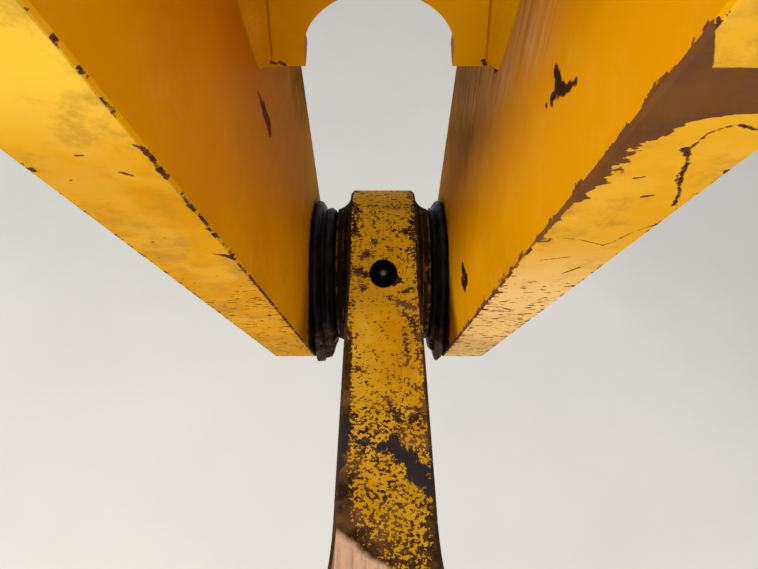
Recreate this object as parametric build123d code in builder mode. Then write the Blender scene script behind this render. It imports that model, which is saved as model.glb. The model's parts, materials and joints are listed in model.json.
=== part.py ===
from build123d import *
import os
from math import asin, cos, degrees, radians, sin

os.makedirs("parts", exist_ok=True)

# Bell crank of a wheel loader's bucket linkage, with the bucket link on the pin at its lower end.
# Millimetres and degrees. The origin is the middle of the main pivot bore, +X runs along the pins,
# +Y points to the machine's rear and +Z up. Seen from the front, the left plate is the one on -X.

# Side plates
plate_gap = 150.0  # between the inner faces
plate_thickness = 48.0
lower_arm_length = 620.0  # main pivot to link pin
lower_arm_lean = 7.7  # how far the arm leans forward as it rises
upper_arm_length = 500.0  # main pivot to rod pin
upper_arm_lean = 30.0
lower_eye_radius = 100.0
pivot_lobe_radius = 183.0
upper_eye_radius = 95.0
front_blend_radius = 1200.0  # hollow of the front edge beside the main pivot
plate_edge_break = 1.5

# Webs between the plates
web_thickness = 20.0
lower_web_reach = 265.0  # main pivot to the free end
upper_web_reach = 275.0
arch_width = 93.0
arch_height = 56.0

# Hub through both plates
hub_radius = 95.0
hub_proud = 14.0  # beyond each plate's outer face
pivot_pin_diameter = 90.0
hub_bushing_wall = 7.5
hub_bushing_length = 85.0
hub_seal_depth = 9.0  # recess outside each bushing
hub_relief = 6.0  # grease space between the bushings, beyond their seat

# Upper fork
rod_pin_diameter = 80.0
rod_boss_radius = 72.0
rod_boss_thickness = 13.0

# Link pin and its retainer
link_pin_diameter = 85.0
pin_proud = 8.0  # beyond the right plate
retainer_height = 20.0
retainer_radius = 24.0
retainer_hole_diameter = 20.0
retainer_hole_depth = 18.0
retainer_spacing = 112.0  # pin centre to bolt
pivot_retainer_spacing = 148.0
flag_thickness = 12.0
flag_pin_end_radius = 54.0
flag_bolt_clearance = 1.0
flag_bolt_across_flats = 30.0
flag_bolt_head_height = 12.5
flag_washer_radius = 18.5
flag_washer_thickness = 3.0

# Bucket link
link_length = 540.0  # pin to pin
link_rise = 17.0  # angle above the horizontal as it runs forward
link_offset = 4.5  # middle plane of the link, from that of the plates
link_eye_radius = 100.0
rear_eye_width = 104.0
front_eye_width = 104.0
link_bar_width = 73.0
link_bar_depth = 150.0
link_neck_radius = 120.0  # hollow where the bar meets an eye
link_edge_bevel = 3.0
link_shoulder_radius = 78.0  # flat side face of the rear eye
link_shoulder_bulge = 4.2  # of the rounded shoulder, beyond a straight cone
flare_start = 340.0  # from the link pin
flare_hollow_radius = 267.0
flare_crown_radius = 60.0
bucket_pin_diameter = 85.0
link_bushing_wall = 7.5
link_seal_depth = 9.0

# Grease points
recess_diameter = 28.0
recess_depth = 22.0  # below the eye's round
recess_reach = 40.0  # of the cut, through the neck
grease_hole_diameter = 10.0
rear_recess_angle = 42.0  # from the link's axis, towards its upper side
front_recess_angle = 90.0

# Collars and seals beside the link's rear eye
collar_radius = 86.0
collar_thickness = 11.0
collar_edge = 3.0
shim_radius = 73.0
seal_body_radius = 77.0
seal_lip_radius = 70.0
seal_edge = 1.5

# Clearances, on the radius
running_fit = 0.06
pin_fit = 0.05
welded_fit = 0.05
seal_clearance = 0.6
face_clearance = 0.3

# Places in the side view, as (y, z)


def from_point(start, angle, distance):
    """The point at a distance from start, its angle counted from +Y towards +Z."""
    return (
        start[0] + distance * cos(radians(angle)),
        start[1] + distance * sin(radians(angle)),
    )


pivot_at = (0.0, 0.0)
lower_angle = lower_arm_lean - 90
upper_angle = upper_arm_lean + 90
link_pin_at = from_point(pivot_at, lower_angle, lower_arm_length)
rod_pin_at = from_point(pivot_at, upper_angle, upper_arm_length)
link_angle = 180 - link_rise

inner_x = plate_gap / 2
outer_x = inner_x + plate_thickness
hub_end_x = outer_x + hub_proud
sides = (("left", -1), ("right", 1))


def save(piece, name):
    piece.part.label = name
    export_step(piece.part, f"parts/{name}.step")


def across(x):
    """The plane square to the pins at x, drawn in (y, z)."""
    return Plane.YZ.offset(x)


def between(near, far, sign):
    """Start and length of a piece that lies from near to far on one side of the middle plane."""
    return (near, far - near) if sign > 0 else (-far, far - near)


def pin_section(centre, x=0.0):
    """The plane through a pin's axis, drawn in (along the pin, away from it)."""
    return Plane(origin=(x, *centre), x_dir=(1, 0, 0), z_dir=(0, -1, 0))


def ring(start_x, centre, outer, inner):
    """The section of a plain ring about a pin's axis, to extrude along the pin."""
    with BuildSketch(across(start_x)) as section:
        with Locations(centre):
            Circle(outer)
            Circle(inner, mode=Mode.SUBTRACT)
    return section.sketch


# Side plates: three rounded ends joined by their outer tangents
lower_taper = degrees(asin((pivot_lobe_radius - lower_eye_radius) / lower_arm_length))
upper_taper = degrees(asin((pivot_lobe_radius - upper_eye_radius) / upper_arm_length))
rear_low = lower_angle + 90 - lower_taper
rear_high = upper_angle - 90 + upper_taper
front_high = upper_angle + 90 - upper_taper
front_low = lower_angle + 270 + lower_taper
front_corner = from_point(
    pivot_at,
    (front_high + front_low) / 2,
    pivot_lobe_radius / cos(radians(front_high - front_low) / 2),
)
for side, sign in sides:
    start_x, length = between(inner_x, outer_x, sign)
    with BuildPart() as plate:
        with BuildSketch(across(start_x)) as outline:
            with BuildLine():
                CenterArc(link_pin_at, lower_eye_radius, front_low, rear_low + 360 - front_low)
                Line(
                    from_point(link_pin_at, rear_low, lower_eye_radius),
                    from_point(pivot_at, rear_low, pivot_lobe_radius),
                )
                CenterArc(pivot_at, pivot_lobe_radius, rear_low, rear_high - rear_low)
                Line(
                    from_point(pivot_at, rear_high, pivot_lobe_radius),
                    from_point(rod_pin_at, rear_high, upper_eye_radius),
                )
                CenterArc(rod_pin_at, upper_eye_radius, rear_high, front_high - rear_high)
                Line(from_point(rod_pin_at, front_high, upper_eye_radius), front_corner)
                Line(front_corner, from_point(link_pin_at, front_low, lower_eye_radius))
            make_face()
            fillet(outline.vertices().sort_by_distance((*front_corner, 0))[0], front_blend_radius)
        extrude(amount=length)
        rims = plate.faces().filter_by(Plane.YZ).edges()
        chamfer(rims, plate_edge_break)
        with BuildSketch(across(start_x)):
            with Locations(pivot_at):
                Circle(hub_radius + welded_fit)
            with Locations(link_pin_at):
                Circle(link_pin_diameter / 2 + pin_fit)
            with Locations(rod_pin_at):
                Circle(rod_pin_diameter / 2 + pin_fit)
        extrude(amount=length, mode=Mode.SUBTRACT)
    save(plate, f"plate_{side}")

# Webs: each lies on its arm's middle, from the hub to an arch at its free end
for arm, angle, reach in (
    ("lower", lower_angle, lower_web_reach),
    ("upper", upper_angle, upper_web_reach),
):
    run = (0, cos(radians(angle)), sin(radians(angle)))
    web_plane = Plane(origin=(0, 0, 0), x_dir=(1, 0, 0), z_dir=(0, -run[2], run[1]))
    arch_centre = reach - arch_height + arch_width / 2
    with BuildPart() as web:
        with BuildSketch(web_plane):
            with Locations((0, reach / 2)):
                Rectangle(plate_gap, reach)
            with Locations((0, arch_centre)):
                Circle(arch_width / 2, mode=Mode.SUBTRACT)
            with Locations((0, arch_centre + arch_width / 2)):
                Rectangle(arch_width, arch_width, mode=Mode.SUBTRACT)
        extrude(amount=web_thickness / 2, both=True)
        with BuildSketch(across(0)):
            Circle(hub_radius + welded_fit)
        extrude(amount=plate_gap, both=True, mode=Mode.SUBTRACT)
    save(web, f"{arm}_web")

# Hub: a tube through both plates, with a bushing and a seal in each end
hub_bushing_outer = pivot_pin_diameter / 2 + hub_bushing_wall
hub_seat = hub_bushing_outer + pin_fit
hub_bushing_far = hub_end_x - hub_seal_depth
hub_bushing_near = hub_bushing_far - hub_bushing_length
with BuildPart() as hub_tube:
    extrude(ring(-hub_end_x, pivot_at, hub_radius, hub_seat), amount=2 * hub_end_x)
    with BuildSketch(across(0)):
        Circle(hub_seat + hub_relief)
    extrude(amount=hub_bushing_near, both=True, mode=Mode.SUBTRACT)
    with BuildSketch(Plane.XZ.offset(hub_radius)):
        Circle(grease_hole_diameter / 2)
    extrude(amount=-(hub_radius - hub_seat), mode=Mode.SUBTRACT)
save(hub_tube, "hub_tube")

for side, sign in sides:
    with BuildPart() as hub_bushing:
        start_x, length = between(hub_bushing_near, hub_bushing_far, sign)
        bore = pivot_pin_diameter / 2 + running_fit
        extrude(ring(start_x, pivot_at, hub_bushing_outer, bore), amount=length)
    save(hub_bushing, f"hub_bushing_{side}")
    with BuildPart() as hub_seal:
        start_x, length = between(hub_bushing_far, hub_end_x - face_clearance, sign)
        bore = pivot_pin_diameter / 2 + seal_clearance
        extrude(ring(start_x, pivot_at, hub_bushing_outer, bore), amount=length)
    save(hub_seal, f"hub_seal_{side}")

# Upper fork: a spacer boss on each plate's inner face, bored with the plate
for side, sign in sides:
    with BuildPart() as rod_boss:
        start_x, length = between(inner_x - rod_boss_thickness, inner_x, sign)
        bore = rod_pin_diameter / 2 + pin_fit
        extrude(ring(start_x, rod_pin_at, rod_boss_radius, bore), amount=length)
    save(rod_boss, f"rod_boss_{side}")

# Tapped bosses for the pins' flags, on the left plate's outer face
retainers = {
    # pin: (its centre, direction of the bolt from it, distance)
    "link": (link_pin_at, lower_angle + 180, retainer_spacing),
    "pivot": (pivot_at, upper_angle, pivot_retainer_spacing),
    "rod": (rod_pin_at, upper_angle + 180, retainer_spacing),
}
retainer_face_x = outer_x + retainer_height
for pin, (centre, angle, spacing) in retainers.items():
    with BuildPart() as retainer:
        with BuildSketch(across(-retainer_face_x)):
            with Locations(from_point(centre, angle, spacing)):
                Circle(retainer_radius)
        extrude(amount=retainer_height)
        with BuildSketch(across(-retainer_face_x)):
            with Locations(from_point(centre, angle, spacing)):
                Circle(retainer_hole_diameter / 2)
        extrude(amount=retainer_hole_depth, mode=Mode.SUBTRACT)
    save(retainer, f"{pin}_retainer_boss")

# Link pin: through both plates, with its flag at the left end
flag_face_x = retainer_face_x + flag_thickness
with BuildPart() as link_pin:
    with BuildSketch(across(-flag_face_x)):
        with Locations(link_pin_at):
            Circle(link_pin_diameter / 2)
    extrude(amount=flag_face_x + outer_x + pin_proud)
    chamfer(link_pin.faces().filter_by(Plane.YZ).edges(), plate_edge_break)
save(link_pin, "link_pin")

link_bolt_at = from_point(link_pin_at, lower_angle + 180, retainer_spacing)
flag_taper = degrees(asin((flag_pin_end_radius - retainer_radius) / retainer_spacing))
flag_normals = (lower_angle + 90 + flag_taper, lower_angle + 270 - flag_taper)
with BuildPart() as pin_flag:
    with BuildSketch(across(-flag_face_x)):
        with Locations(link_pin_at):
            Circle(flag_pin_end_radius)
        with Locations(link_bolt_at):
            Circle(retainer_radius)
        with BuildLine():
            Polyline(
                from_point(link_pin_at, flag_normals[0], flag_pin_end_radius),
                from_point(link_bolt_at, flag_normals[0], retainer_radius),
                from_point(link_bolt_at, flag_normals[1], retainer_radius),
                from_point(link_pin_at, flag_normals[1], flag_pin_end_radius),
                close=True,
            )
        make_face()
        with Locations(link_pin_at):
            Circle(link_pin_diameter / 2 + pin_fit, mode=Mode.SUBTRACT)
        with Locations(link_bolt_at):
            Circle(retainer_hole_diameter / 2 + flag_bolt_clearance, mode=Mode.SUBTRACT)
    extrude(amount=flag_thickness)
save(pin_flag, "pin_flag")

bolt_seat = Plane(origin=(-flag_face_x, *link_bolt_at), x_dir=(0, 1, 0), z_dir=(-1, 0, 0))
bolt_reach = flag_thickness + retainer_hole_depth - face_clearance
with BuildPart() as flag_bolt:
    with BuildSketch(bolt_seat):
        Circle(flag_washer_radius)
    extrude(amount=flag_washer_thickness)
    with BuildSketch(bolt_seat.offset(flag_washer_thickness)):
        RegularPolygon(flag_bolt_across_flats / 2, 6, major_radius=False)
    extrude(amount=flag_bolt_head_height)
    with BuildSketch(bolt_seat):
        Circle(retainer_hole_diameter / 2 - pin_fit)
    extrude(amount=-bolt_reach)
save(flag_bolt, "flag_bolt")

# Bucket link: the side outline, cut to the plan view's flare, with shoulders on the rear eye
link_run = (0, cos(radians(link_angle)), sin(radians(link_angle)))
link_up = (0, link_run[2], -link_run[1])
link_origin = (link_offset, *link_pin_at)
link_side = Plane(origin=link_origin, x_dir=link_run, z_dir=(-1, 0, 0))
link_plan = Plane(origin=link_origin, x_dir=link_run, z_dir=link_up)
bucket_pin_at = from_point(link_pin_at, link_angle, link_length)
flare_rise = (front_eye_width - link_bar_width) / 2
flare_turn = degrees(2 * asin((flare_rise / (flare_hollow_radius + flare_crown_radius) / 2) ** 0.5))
link_bushing_outer = link_pin_diameter / 2 + link_bushing_wall
front_bushing_outer = bucket_pin_diameter / 2 + link_bushing_wall
link_tip = link_length + 2 * link_eye_radius
eyes = (
    # place along the link, bore radius, angle of the grease recess
    (0, link_bushing_outer + pin_fit, rear_recess_angle),
    (link_length, front_bushing_outer + pin_fit, front_recess_angle),
)
with BuildPart() as link_bar:
    with BuildSketch(link_side) as outline:
        with Locations((0, 0), (link_length, 0)):
            Circle(link_eye_radius)
        with Locations((link_length / 2, 0)):
            Rectangle(link_length, link_bar_depth)
        corners = [v for v in outline.vertices() if abs(abs(v.Y) - link_bar_depth / 2) < 0.01]
        fillet(corners, link_neck_radius)
    extrude(amount=front_eye_width / 2, both=True)
    with BuildSketch(link_plan):
        with BuildLine():
            bar_side = Line(
                (-2 * link_eye_radius, link_bar_width / 2),
                (flare_start, link_bar_width / 2),
            )
            hollow = JernArc(bar_side @ 1, bar_side % 1, flare_hollow_radius, flare_turn)
            crown = JernArc(hollow @ 1, hollow % 1, flare_crown_radius, -flare_turn)
            Line(crown @ 1, (link_tip, front_eye_width / 2))
            Line((link_tip, front_eye_width / 2), (link_tip, 0))
            mirror(about=Plane.XZ)
            Line(
                (-2 * link_eye_radius, link_bar_width / 2),
                (-2 * link_eye_radius, -link_bar_width / 2),
            )
        make_face()
    extrude(amount=2 * link_eye_radius, both=True, mode=Mode.INTERSECT)
    upright = Axis(link_origin, link_up)
    square_edges = link_bar.edges().filter_by(Axis.X) + link_bar.edges().filter_by(upright)
    rims = [e for e in link_bar.edges() if e not in square_edges]
    chamfer(rims, link_edge_bevel)
    with BuildSketch(pin_section(link_pin_at, link_offset)):
        with BuildLine():
            Line((0, 0), (rear_eye_width / 2, 0))
            Line((rear_eye_width / 2, 0), (rear_eye_width / 2, link_shoulder_radius))
            SagittaArc(
                (rear_eye_width / 2, link_shoulder_radius),
                (link_bar_width / 2, link_eye_radius - link_edge_bevel),
                link_shoulder_bulge,
            )
            Line(
                (link_bar_width / 2, link_eye_radius - link_edge_bevel),
                (0, link_eye_radius - link_edge_bevel),
            )
            mirror(about=Plane.YZ)
        make_face()
    revolve(axis=Axis(link_origin, (1, 0, 0)))
    for place, bore, recess_angle in eyes:
        with BuildSketch(link_side):
            with Locations((place, 0)):
                Circle(bore)
        extrude(amount=front_eye_width, both=True, mode=Mode.SUBTRACT)
        centre = from_point(link_pin_at, link_angle, place)
        out = (0, cos(radians(link_angle - recess_angle)), sin(radians(link_angle - recess_angle)))
        top = from_point(centre, link_angle - recess_angle, link_eye_radius)
        recess_plane = Plane(origin=(link_offset, *top), x_dir=(1, 0, 0), z_dir=out)
        with BuildSketch(recess_plane.offset(recess_reach)):
            Circle(recess_diameter / 2)
        extrude(amount=-(recess_depth + recess_reach), mode=Mode.SUBTRACT)
        with BuildSketch(recess_plane):
            Circle(grease_hole_diameter / 2)
        extrude(amount=-(link_eye_radius - bore / 2), mode=Mode.SUBTRACT)
save(link_bar, "link_bar")

# Bushings of the link
rear_left_x = link_offset - rear_eye_width / 2
with BuildPart() as link_bushing_rear:
    start_x = rear_left_x + face_clearance
    bore = link_pin_diameter / 2 + running_fit
    section = ring(start_x, link_pin_at, link_bushing_outer, bore)
    extrude(section, amount=rear_eye_width - 2 * face_clearance)
save(link_bushing_rear, "link_bushing_rear")

front_bushing_half = front_eye_width / 2 - link_seal_depth
with BuildPart() as link_bushing_front:
    start_x = link_offset - front_bushing_half
    bore = bucket_pin_diameter / 2 + running_fit
    section = ring(start_x, bucket_pin_at, front_bushing_outer, bore)
    extrude(section, amount=2 * front_bushing_half)
save(link_bushing_front, "link_bushing_front")

for side, sign in sides:
    with BuildPart() as link_seal:
        start_x, length = between(front_bushing_half, front_eye_width / 2 - face_clearance, sign)
        bore = bucket_pin_diameter / 2 + seal_clearance
        section = ring(link_offset + start_x, bucket_pin_at, front_bushing_outer, bore)
        extrude(section, amount=length)
    save(link_seal, f"link_seal_{side}")

# Collars and seals on the link pin, from each plate's inner face to the link's eye
pin_clear = link_pin_diameter / 2 + pin_fit
for side, sign in sides:
    eye_face = rear_eye_width / 2 + sign * link_offset
    seal_far = inner_x - collar_thickness
    shim_thickness = 2 * link_offset if sign < 0 else 0
    with BuildPart() as collar:
        start_x, length = between(seal_far, inner_x, sign)
        extrude(ring(start_x, link_pin_at, collar_radius, pin_clear), amount=length)
        rims = collar.edges().filter_by(GeomType.CIRCLE).group_by(SortBy.RADIUS)[-1]
        chamfer(rims, collar_edge)
    save(collar, f"link_collar_{side}")
    if shim_thickness:
        with BuildPart() as shim:
            start_x, length = between(seal_far - shim_thickness, seal_far, sign)
            extrude(ring(start_x, link_pin_at, shim_radius, pin_clear), amount=length)
        save(shim, f"link_shim_{side}")
    near = eye_face + face_clearance
    far = seal_far - shim_thickness
    with BuildPart() as seal:
        with BuildSketch(pin_section(link_pin_at)):
            with BuildLine():
                Polyline(
                    (sign * near, pin_clear),
                    (sign * near, seal_lip_radius),
                    (sign * (near + far) / 2, seal_body_radius),
                    (sign * (far - seal_edge), seal_body_radius),
                    (sign * far, seal_body_radius - seal_edge),
                    (sign * far, pin_clear),
                    close=True,
                )
            make_face()
        revolve(axis=Axis((0, *link_pin_at), (1, 0, 0)))
    save(seal, f"link_seal_ring_{side}")

# Grease fittings, each screwed into its hole
fitting_thread_length = 10.0
fitting_across_flats = 11.0
fitting_hex_height = 6.0
fitting_neck_radius = 2.4
fitting_height = 15.0
fitting_head_radius = 3.3
fitting_head_edge = 1.2


def fitting_seat(centre, angle, radius, x):
    """The plane that a fitting stands on, at a radius from a pin's centre."""
    out = (0, cos(radians(angle)), sin(radians(angle)))
    return Plane(origin=(x, *from_point(centre, angle, radius)), x_dir=(1, 0, 0), z_dir=out)


recess_floor = link_eye_radius - recess_depth
fittings = (
    # name, the plane that it stands on
    ("hub_grease_fitting", fitting_seat(pivot_at, 180, hub_radius, 0)),
    (
        "link_grease_fitting_rear",
        fitting_seat(link_pin_at, link_angle - rear_recess_angle, recess_floor, link_offset),
    ),
    (
        "link_grease_fitting_front",
        fitting_seat(bucket_pin_at, link_angle - front_recess_angle, recess_floor, link_offset),
    ),
)
for name, seat in fittings:
    with BuildPart() as fitting:
        with BuildSketch(seat):
            Circle(grease_hole_diameter / 2 - pin_fit)
        extrude(amount=-fitting_thread_length)
        with BuildSketch(seat):
            RegularPolygon(fitting_across_flats / 2, 6, major_radius=False)
        extrude(amount=fitting_hex_height)
        with BuildSketch(seat.offset(fitting_hex_height)):
            Circle(fitting_neck_radius)
        extrude(amount=fitting_height - fitting_hex_height)
        with BuildSketch(seat.offset(fitting_height - fitting_head_radius)):
            Circle(fitting_head_radius)
        extrude(amount=fitting_head_radius)
        crown = fitting.faces().sort_by(Axis(seat.origin, seat.z_dir))[-1]
        chamfer(crown.edges(), fitting_head_edge)
    save(fitting, name)
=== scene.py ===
import json
import math

import bmesh
import bpy
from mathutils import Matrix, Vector, noise


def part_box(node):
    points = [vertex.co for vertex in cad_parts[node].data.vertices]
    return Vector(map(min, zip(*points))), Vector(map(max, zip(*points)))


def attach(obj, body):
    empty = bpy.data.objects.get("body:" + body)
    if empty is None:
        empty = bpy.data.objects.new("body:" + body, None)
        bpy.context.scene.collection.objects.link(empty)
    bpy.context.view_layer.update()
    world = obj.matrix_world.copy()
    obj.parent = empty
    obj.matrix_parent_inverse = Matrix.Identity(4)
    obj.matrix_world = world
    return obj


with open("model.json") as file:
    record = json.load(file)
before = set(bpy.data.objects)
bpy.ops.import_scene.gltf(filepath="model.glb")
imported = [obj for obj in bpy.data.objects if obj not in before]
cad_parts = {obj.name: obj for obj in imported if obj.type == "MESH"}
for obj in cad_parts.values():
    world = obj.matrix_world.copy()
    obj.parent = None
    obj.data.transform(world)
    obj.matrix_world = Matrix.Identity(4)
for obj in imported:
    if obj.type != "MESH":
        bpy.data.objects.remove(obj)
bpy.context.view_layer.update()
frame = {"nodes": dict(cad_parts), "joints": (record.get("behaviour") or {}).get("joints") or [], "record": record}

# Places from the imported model, in metres. The row frame has +X to the right, +Y rearward and +Z up
mounts = {m["name"]: m for m in frame["record"]["mounts"]}
LINK_PIN = Vector(frame["joints"][0]["pos_m"])
ROD_PIN = Vector(mounts["rod_pin_bore"]["pos_m"])
BUCKET_PIN = Vector(mounts["bucket_pin_bore"]["pos_m"])
PIVOT = Vector((0, 0, 0))
INNER_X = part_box("plate_right")[0][0]
OUTER_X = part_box("plate_right")[1][0]

# The link: its run from pin to pin, its top face, and the hollow neck behind that face
EYE_RADIUS = 0.100
LINK_MIDDLE_X = BUCKET_PIN.x
LINK_BAR_HALF_DEPTH = 0.075
LINK_RUN = (BUCKET_PIN - Vector((BUCKET_PIN.x, LINK_PIN.y, LINK_PIN.z))).normalized()
LINK_UP = Vector((0, LINK_RUN.z, -LINK_RUN.y))
NECK_RADIUS = 0.120
NECK_FORWARD = 0.1019
NECK_RAISED = LINK_BAR_HALF_DEPTH + NECK_RADIUS
RECESS_ANGLE = math.radians(121)
RECESS_RUN = Vector((0, math.cos(RECESS_ANGLE), math.sin(RECESS_ANGLE)))
EYE_HALF_WIDTH = (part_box("link_bushing_rear")[1][0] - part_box("link_bushing_rear")[0][0]) / 2 + 0.0003

# The lever: its arms' runs, and the straight front and rear edges of its lower arm
LOWER_RUN = (LINK_PIN - PIVOT).normalized()
LOWER_ANGLE = math.atan2(LOWER_RUN.z, LOWER_RUN.y)
LOWER_LENGTH = (LINK_PIN - PIVOT).length
REARWARD = Vector((0, -LOWER_RUN.z, LOWER_RUN.y))
UPPER_RUN = (ROD_PIN - PIVOT).normalized()
PIVOT_LOBE = 0.183
TAPER = math.asin((PIVOT_LOBE - EYE_RADIUS) / LOWER_LENGTH)
FRONT_ANGLE = LOWER_ANGLE - math.pi / 2 + TAPER
FRONT_NORMAL = Vector((0, math.cos(FRONT_ANGLE), math.sin(FRONT_ANGLE)))
REAR_ANGLE = LOWER_ANGLE + math.pi / 2 - TAPER
REAR_NORMAL = Vector((0, math.cos(REAR_ANGLE), math.sin(REAR_ANGLE)))
HUB_RADIUS = 0.095
WEB_HALF_THICKNESS = 0.010
LOWER_WEB_REACH = 0.265
UPPER_WEB_REACH = 0.275

# Turns about X that lay a texture along the lower arm or square to its front edge
ARM_TURN = LOWER_ANGLE + math.pi / 2
FRONT_TURN = FRONT_ANGLE - math.pi / 2
# Dirt cakes on the lower front of the collars
CAKED_RUN = (0, -0.88, -0.47)

# Camera: beside the link, before the lever, looking down and rearward
CAMERA_FROM_PIN = Vector((0, -0.359, 0.595))
CAMERA_DIP = math.radians(60)
PHOTO_WIDTH = 758
FOCAL_PIXELS = 570
SENSOR_WIDTH = 36
NEAREST_SEEN = 0.01
FLOOR_BELOW_PIN = 0.875
FLOOR_HALF_SIZE = 30
LIT_MIDDLE = Vector((0, 0, -0.35))


def srgb(red, green, blue):
    """A colour given in 0 to 255 display values, as the linear one that shaders take."""

    def linear(value):
        value /= 255
        return value / 12.92 if value <= 0.04045 else ((value + 0.055) / 1.055) ** 2.4

    return (linear(red), linear(green), linear(blue), 1)


YELLOW = srgb(219, 153, 0)
YELLOW_DEEP = srgb(200, 134, 0)
# The web's yellow, brighter and warmer than the lever's own: painted light that lifts the web out of the plates'
# shade
YELLOW_WEB_LIT = srgb(246, 188, 0)
# Painted highlight for the upper part of the front edge faces
YELLOW_HIGHLIGHT = srgb(254, 214, 78)
YELLOW_PALE = srgb(232, 178, 62)
# Faded yellow with painted sunlight, for the worn plate's lower front edge
YELLOW_FADED_LIT = srgb(244, 198, 124)
LINK_YELLOW = srgb(216, 160, 8)
LINK_YELLOW_PALE = srgb(226, 178, 44)
# Brighter link yellow for the hollow neck: painted light against the shade in the hollow
LINK_YELLOW_NECK_LIT = srgb(244, 194, 14)
RUST_DARK = srgb(54, 34, 28)
RUST_BROWN = srgb(104, 66, 46)
RUST_SOFT = srgb(116, 84, 56)
RUST_SOFT_DARK = srgb(52, 36, 22)
RUST_ORANGE = srgb(140, 80, 40)
RUST_SMOOTH = srgb(114, 73, 36)
BARE_STEEL = srgb(48, 48, 53)
# Rubbed steel with painted sunlight on it
SUNLIT_STEEL = srgb(250, 206, 172)
DUST = srgb(168, 117, 46)
PALE_TAN = srgb(234, 196, 136)
DUST_DARK = srgb(110, 72, 28)
DUST_DEEP = srgb(112, 74, 34)
GOUGE_RED = srgb(124, 34, 6)
SCAR_DARK = srgb(52, 34, 12)
SIDE_BROWN = srgb(58, 44, 26)
OCHRE = srgb(150, 104, 40)
GREASE = srgb(16, 15, 15)
CAKED_DIRT = srgb(84, 60, 36)
GREASED_METAL = srgb(34, 33, 34)
GREASED_RUBBER = srgb(34, 34, 36)
# Pale bluish painted highlight on the fitting's bare tip
WIPED_TIP_HIGHLIGHT = srgb(206, 222, 250)
PIN_METAL = srgb(120, 116, 110)
BUSHING_METAL = srgb(110, 100, 88)
ZINC_METAL = srgb(150, 146, 132)
FLOOR_DARK = srgb(214, 212, 208)
FLOOR_PALE = srgb(228, 226, 222)
PAINT_SHEEN = (1.0, 0.66, 0.24, 1)

PAINT_GLOSS = 0.06
PLATE_GLOSS = 0.008
GREASE_GLOSS = 0.09
# Width of the soft edge of a chip, in the noise's own value
CHIP_EDGE = 0.012
# How much lower the chips' limits lie on the right plate, which is more worn and dusty, with paler
# front edges of faded paint and painted sunlight, and a weaker painted highlight
MOST_WORN = 0.03


# Materials


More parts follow.
